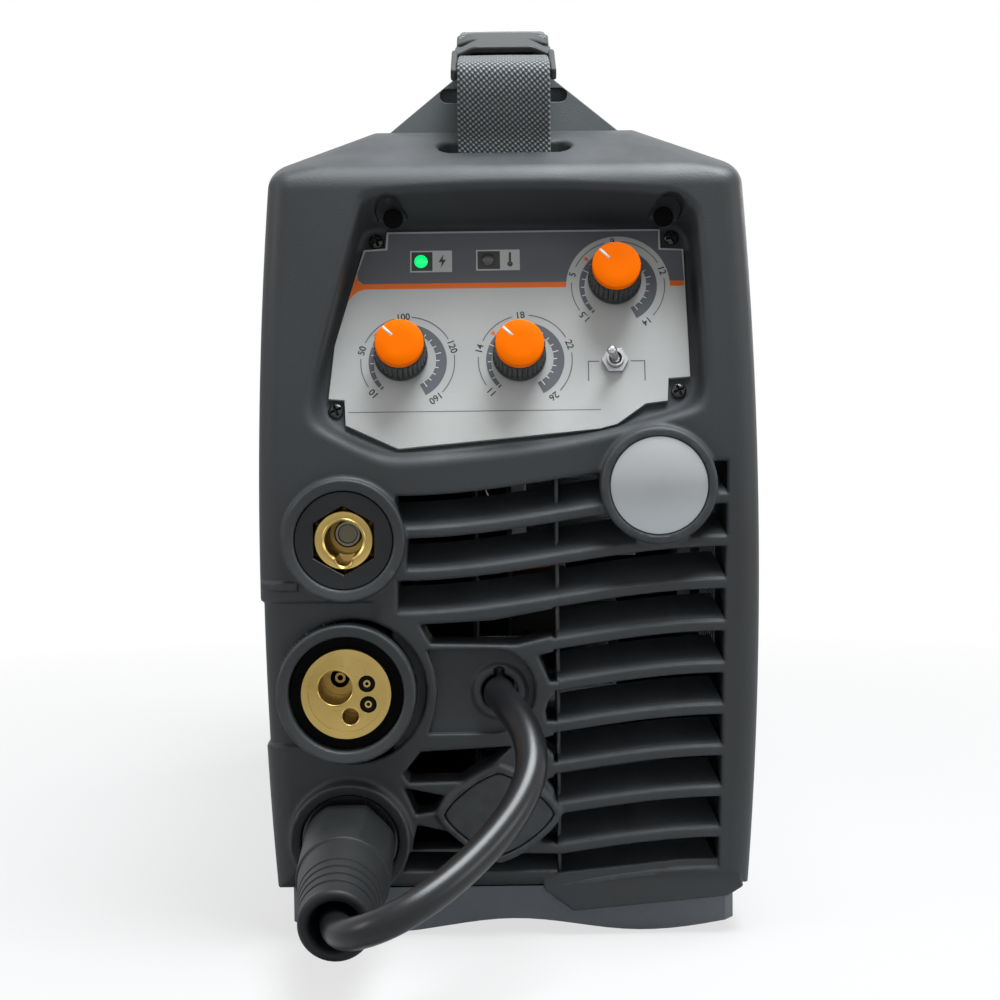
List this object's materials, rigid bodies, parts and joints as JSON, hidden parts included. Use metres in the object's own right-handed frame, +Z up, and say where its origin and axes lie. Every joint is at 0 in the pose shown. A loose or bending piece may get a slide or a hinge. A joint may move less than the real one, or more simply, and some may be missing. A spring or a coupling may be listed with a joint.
{
  "type": "mig welding machine",
  "caption": "Portable welding machine: upright case with a carrying strap, leaning control panel, sockets with a short polarity lead, louvred front, side door and a wire feeder inside.",
  "frame": {"origin": "middle of the machine's footprint on the surface that it stands on", "axes": "+Z up, +Y from the control panel towards the mains switch, +X to the right seen from the control panel"},
  "size_m": [0.172, 0.5264, 0.334],
  "materials": {
    "charcoal_plastic": "fine-grained soft-touch moulding",
    "blue_grey_paint": "satin powder coat",
    "charcoal_paint": "fine powder coat",
    "satin_panel": "satin print on a silver plate",
    "black_plastic": "smooth",
    "orange_cap": "smooth",
    "silver_dome": "satin silver",
    "brass": "turned",
    "steel": "plated",
    "black_rubber": "smooth, with a soft sheen",
    "webbing": "woven strap",
    "green_lamp": "lit lens",
    "grey_lamp": "unlit lens",
    "board": "solder mask",
    "aluminium": "extruded",
    "copper_coil": "varnished windings"
  },
  "bodies": {
    "case": {"front_bezel": "charcoal_plastic", "control_panel": "satin_panel", "panel_screws": "black_plastic", "case_screws": "steel", "potentiometers": "steel", "power_lamp": "green_lamp", "fault_lamp": "grey_lamp", "toggle_body": "steel", "toggle_nut": "steel", "badge_dome": "silver_dome", "blank_cap": "charcoal_plastic", "socket_insulators": "black_plastic", "socket_inserts": "brass", "torch_block": "brass", "torch_insulator": "black_plastic", "torch_contacts": "brass", "inner_lead": "black_rubber", "polarity_lead": "black_rubber", "strap": "webbing", "buckle_socket": "black_plastic", "buckle_prongs": "black_plastic", "handle_towers": "charcoal_plastic", "main_cover": "charcoal_paint", "hinge_pins": "steel", "base_tray": "blue_grey_paint", "rubber_feet": "black_rubber", "divider": "steel", "rear_bezel": "charcoal_plastic", "switch_frame": "black_plastic", "mains_gland": "black_plastic", "gas_inlet": "brass", "fan_frame": "black_plastic", "feeder_frame": "black_plastic", "feed_motor": "steel", "gas_valve": "steel", "gas_hose": "black_rubber", "control_board": "board", "power_board": "board", "heat_sinks": "aluminium", "transformer": "copper_coil", "output_choke": "copper_coil"},
    "current_dial": {"current_knob": "black_plastic", "current_cap": "orange_cap"},
    "voltage_dial": {"voltage_knob": "black_plastic", "voltage_cap": "orange_cap"},
    "speed_dial": {"speed_knob": "black_plastic", "speed_cap": "orange_cap"},
    "mode_lever": {"toggle_lever": "steel"},
    "plug": {"plug_boot": "black_rubber", "plug_pin": "brass"},
    "door": {"side_door": "charcoal_paint"},
    "door_latch_front": {"front_latch": "black_plastic"},
    "door_latch_rear": {"rear_latch": "black_plastic"},
    "rocker": {"switch_rocker": "black_plastic"},
    "fan": {"fan_rotor": "black_plastic"},
    "hub": {"spool_hub": "black_plastic"},
    "feed_roll": {"drive_roll": "steel"},
    "idle_roll": {"pressure_roll": "steel"},
    "feed_arm": {"pressure_arm": "black_plastic"},
    "tension": {"tension_knob": "black_plastic"}
  },
  "joints": [
    {"name": "current_turn", "type": "hinge", "parent": "case", "child": "current_dial", "pos_m": [-0.0365, -0.1987, 0.20332], "axis": [0, -0.9537, 0.3007], "range_deg": [-185, 95]},
    {"name": "voltage_turn", "type": "hinge", "parent": "case", "child": "voltage_dial", "pos_m": [0.0043, -0.19888, 0.20275], "axis": [0, -0.9537, 0.3007], "range_deg": [-185, 95]},
    {"name": "speed_turn", "type": "hinge", "parent": "case", "child": "speed_dial", "pos_m": [0.0377, -0.19064, 0.22888], "axis": [0, -0.9537, 0.3007], "range_deg": [-185, 95]},
    {"name": "mode_flip", "type": "hinge", "parent": "case", "child": "mode_lever", "pos_m": [0.0372, -0.2018, 0.20147], "axis": [0, 0.3007, 0.9537], "range_deg": [0, 18]},
    {"name": "plug_turn", "type": "hinge", "parent": "case", "child": "plug", "pos_m": [-0.0564, -0.20777, 0.0356], "axis": [0, -0.9903, -0.1392], "range_deg": [0, 90]},
    {"name": "door_swing", "type": "hinge", "parent": "case", "child": "door", "pos_m": [-0.0829, 0, 0.0225], "axis": [0, -1, 0], "range_deg": [0, 90]},
    {"name": "front_latch_turn", "type": "hinge", "parent": "door", "child": "door_latch_front", "pos_m": [-0.0794, -0.09, 0.238], "axis": [-1, 0, 0], "range_deg": [0, 90]},
    {"name": "rear_latch_turn", "type": "hinge", "parent": "door", "child": "door_latch_rear", "pos_m": [-0.0794, 0.09, 0.238], "axis": [-1, 0, 0], "range_deg": [0, 90]},
    {"name": "power_rock", "type": "hinge", "parent": "case", "child": "rocker", "pos_m": [-0.038, 0.21304, 0.222], "axis": [1, 0, 0], "range_deg": [0, 16]},
    {"name": "fan_spin", "type": "hinge", "parent": "case", "child": "fan", "pos_m": [0.03, 0.18, 0.15], "axis": [0, 1, 0], "continuous": true},
    {"name": "hub_spin", "type": "hinge", "parent": "case", "child": "hub", "pos_m": [-0.04, 0.052, 0.15], "axis": [1, 0, 0], "continuous": true},
    {"name": "drive_turn", "type": "hinge", "parent": "case", "child": "feed_roll", "pos_m": [-0.0601, -0.105, 0.0752], "axis": [1, 0, 0], "continuous": true},
    {"name": "arm_lift", "type": "hinge", "parent": "case", "child": "feed_arm", "pos_m": [-0.0513, -0.138, 0.113], "axis": [1, 0, 0], "range_deg": [0, 40]},
    {"name": "idle_turn", "type": "hinge", "parent": "feed_arm", "child": "idle_roll", "pos_m": [-0.06, -0.105, 0.1021], "axis": [1, 0, 0], "continuous": true},
    {"name": "tension_turn", "type": "hinge", "parent": "feed_arm", "child": "tension", "pos_m": [-0.0513, -0.072, 0.113], "axis": [0, 0, 1], "range_deg": [-360, 360]}
  ]
}
